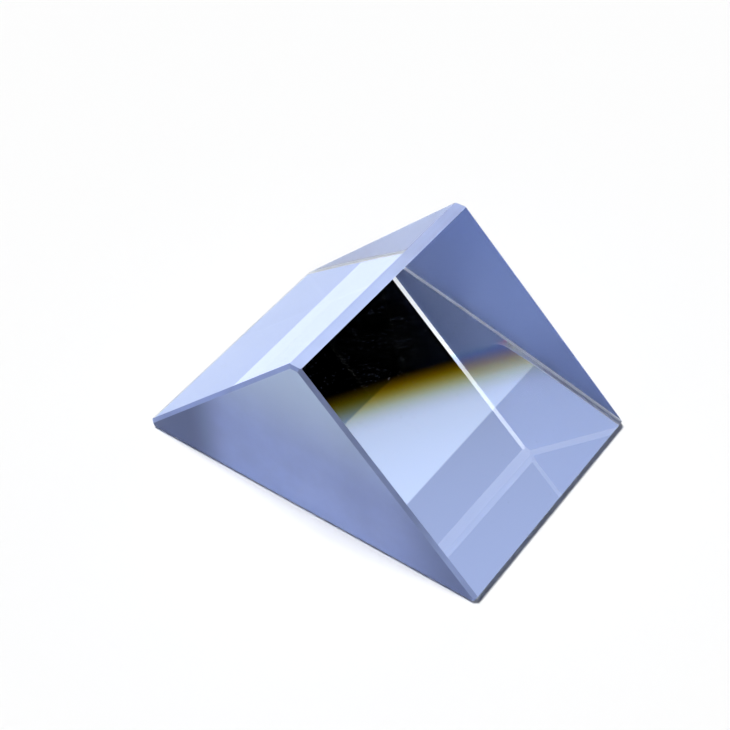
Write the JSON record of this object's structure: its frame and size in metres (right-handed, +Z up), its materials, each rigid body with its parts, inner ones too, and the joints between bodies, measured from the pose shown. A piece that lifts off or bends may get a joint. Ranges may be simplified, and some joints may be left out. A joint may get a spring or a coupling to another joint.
{
  "type": "right angle prism",
  "caption": "Right angle prism of clear optical glass with polished leg and hypotenuse faces, finely ground triangular ends and bevelled edges.",
  "frame": {"origin": "middle of the hypotenuse face, on which the prism rests", "axes": "+X across the triangle from one acute edge to the other, +Y along the block from one ground end to the other, +Z up from the hypotenuse face to the right angle edge"},
  "size_m": [0.0436, 0.03, 0.0219],
  "materials": {
    "optical_glass": "polished leg and hypotenuse faces, finely ground ends and bevels"
  },
  "bodies": {
    "root": {"glass_prism": "optical_glass"}
  },
  "joints": []
}
